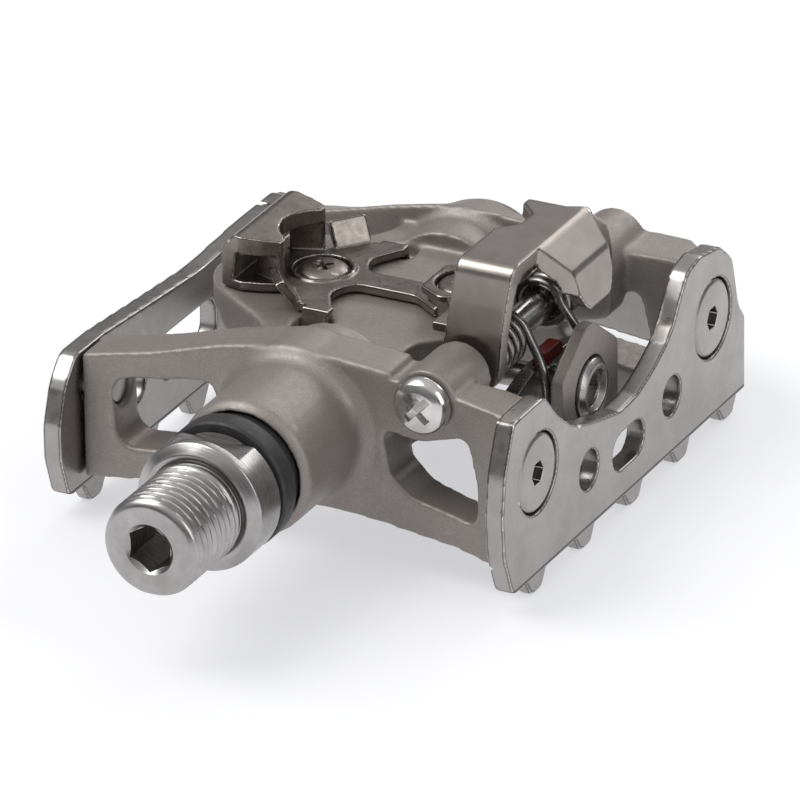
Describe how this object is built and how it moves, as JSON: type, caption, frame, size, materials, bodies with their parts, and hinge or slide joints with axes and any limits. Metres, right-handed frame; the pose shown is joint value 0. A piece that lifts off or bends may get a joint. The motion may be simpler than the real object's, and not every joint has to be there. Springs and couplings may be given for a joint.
{
  "type": "clipless bicycle pedal",
  "caption": "Bicycle pedal with a sprung cleat binding on its upper face and a toothed tread cage round a cast body that spins on a threaded axle.",
  "frame": {"origin": "centre of the axle collar's crank face, on the axle's centre line", "axes": "+Y along the axle away from the crank, +X to the rear of the pedal where the releasing claw is, +Z out of the face with the binding"},
  "size_m": [0.0714, 0.121, 0.0417],
  "materials": {
    "casting": "bead-blasted warm grey casting, satin",
    "chrome": "polished chrome plating with satin faces",
    "steel": "bright turned steel",
    "nickel": "dark satin nickel plating",
    "gunmetal": "dark gunmetal nickel plating",
    "spring_steel": "dark plated spring wire",
    "resin": "matt black resin",
    "indicator": "dark red resin"
  },
  "bodies": {
    "axle": {"axle": "steel", "outboard_cone": "steel", "key_washer": "steel", "lock_nut": "steel"},
    "body": {"body_casting": "casting", "lock_sleeve": "resin", "inboard_cup": "steel", "outboard_cup": "steel", "end_cap": "casting", "cage": "chrome", "cage_bolt_front_inboard": "chrome", "cage_bolt_front_outboard": "chrome", "cage_bolt_rear_inboard": "chrome", "cage_bolt_rear_outboard": "chrome", "binding_plate": "gunmetal", "plate_screw_front": "gunmetal", "plate_screw_rear": "gunmetal", "pivot_pin": "chrome", "spring_inboard": "spring_steel", "spring_outboard": "spring_steel", "tension_bracket": "casting"},
    "inboard_race": {"inboard_balls": "steel"},
    "outboard_race": {"outboard_balls": "steel"},
    "claw": {"rear_claw": "nickel"},
    "bolt": {"tension_bolt": "chrome"},
    "carrier": {"tension_carrier": "steel", "tension_indicator": "indicator"}
  },
  "joints": [
    {"name": "spin", "type": "hinge", "parent": "axle", "child": "body", "pos_m": [0, 0.05, 0], "axis": [0, 1, 0], "continuous": true},
    {"name": "inboard_roll", "type": "hinge", "parent": "axle", "child": "inboard_race", "pos_m": [0, 0.0202, 0], "axis": [0, 1, 0], "continuous": true},
    {"name": "outboard_roll", "type": "hinge", "parent": "axle", "child": "outboard_race", "pos_m": [0, 0.078, 0], "axis": [0, 1, 0], "continuous": true},
    {"name": "release", "type": "hinge", "parent": "body", "child": "claw", "pos_m": [0.0198, 0.0586, 0.0075], "axis": [0, 1, 0], "range_deg": [0, 24], "stiffness_Nm_per_rad": 4, "springref_deg": -20.05, "deforming": ["spring_inboard", "spring_outboard"]},
    {"name": "tension_turn", "type": "hinge", "parent": "body", "child": "bolt", "pos_m": [0.02, 0.0586, -0.0009], "axis": [-1, 0, 0], "range_deg": [0, 540]},
    {"name": "tension_travel", "type": "slide", "parent": "body", "child": "carrier", "axis": [1, 0, 0], "range_m": [0, 0.0012], "deforming": ["spring_inboard", "spring_outboard"]}
  ],
  "couplings": [
    {"joint": "inboard_roll", "follows": "spin", "ratio": 0.57},
    {"joint": "outboard_roll", "follows": "spin", "ratio": 0.57},
    {"joint": "tension_turn", "follows": "tension_travel", "rad_per_m": 7853.9}
  ]
}
